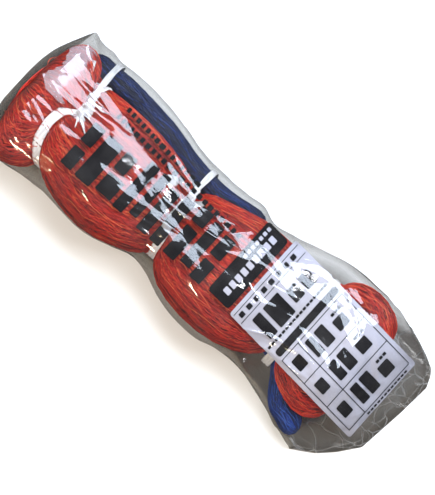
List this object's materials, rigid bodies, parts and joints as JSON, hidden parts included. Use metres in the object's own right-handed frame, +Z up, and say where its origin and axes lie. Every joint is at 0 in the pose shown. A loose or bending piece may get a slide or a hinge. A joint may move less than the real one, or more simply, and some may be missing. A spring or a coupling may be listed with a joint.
{
  "type": "packed bird netting",
  "caption": "Gathered red net hank with a bundled blue edge, tied with flat white tapes and packed in a long clear film bag.",
  "frame": {"origin": "under the middle of the bag, on the surface that it lies on", "axes": "+X from the closed end of the bag, at the head of the hank, to its open end; +Y to the side where the blue edge lies; +Z up"},
  "size_m": [0.354, 0.1256, 0.0732],
  "materials": {
    "red_netting": "fine plastic strands, slight sheen",
    "blue_netting": "fine plastic strands, slight sheen",
    "tape": "satin, slightly see-through",
    "film": "clear glossy film"
  },
  "bodies": {
    "root": {"red_netting": "red_netting", "blue_edge_netting": "blue_netting", "head_tie_tape": "tape", "middle_tie_tape": "tape", "tail_tie_tape": "tape", "film_bag": "film"}
  },
  "joints": []
}
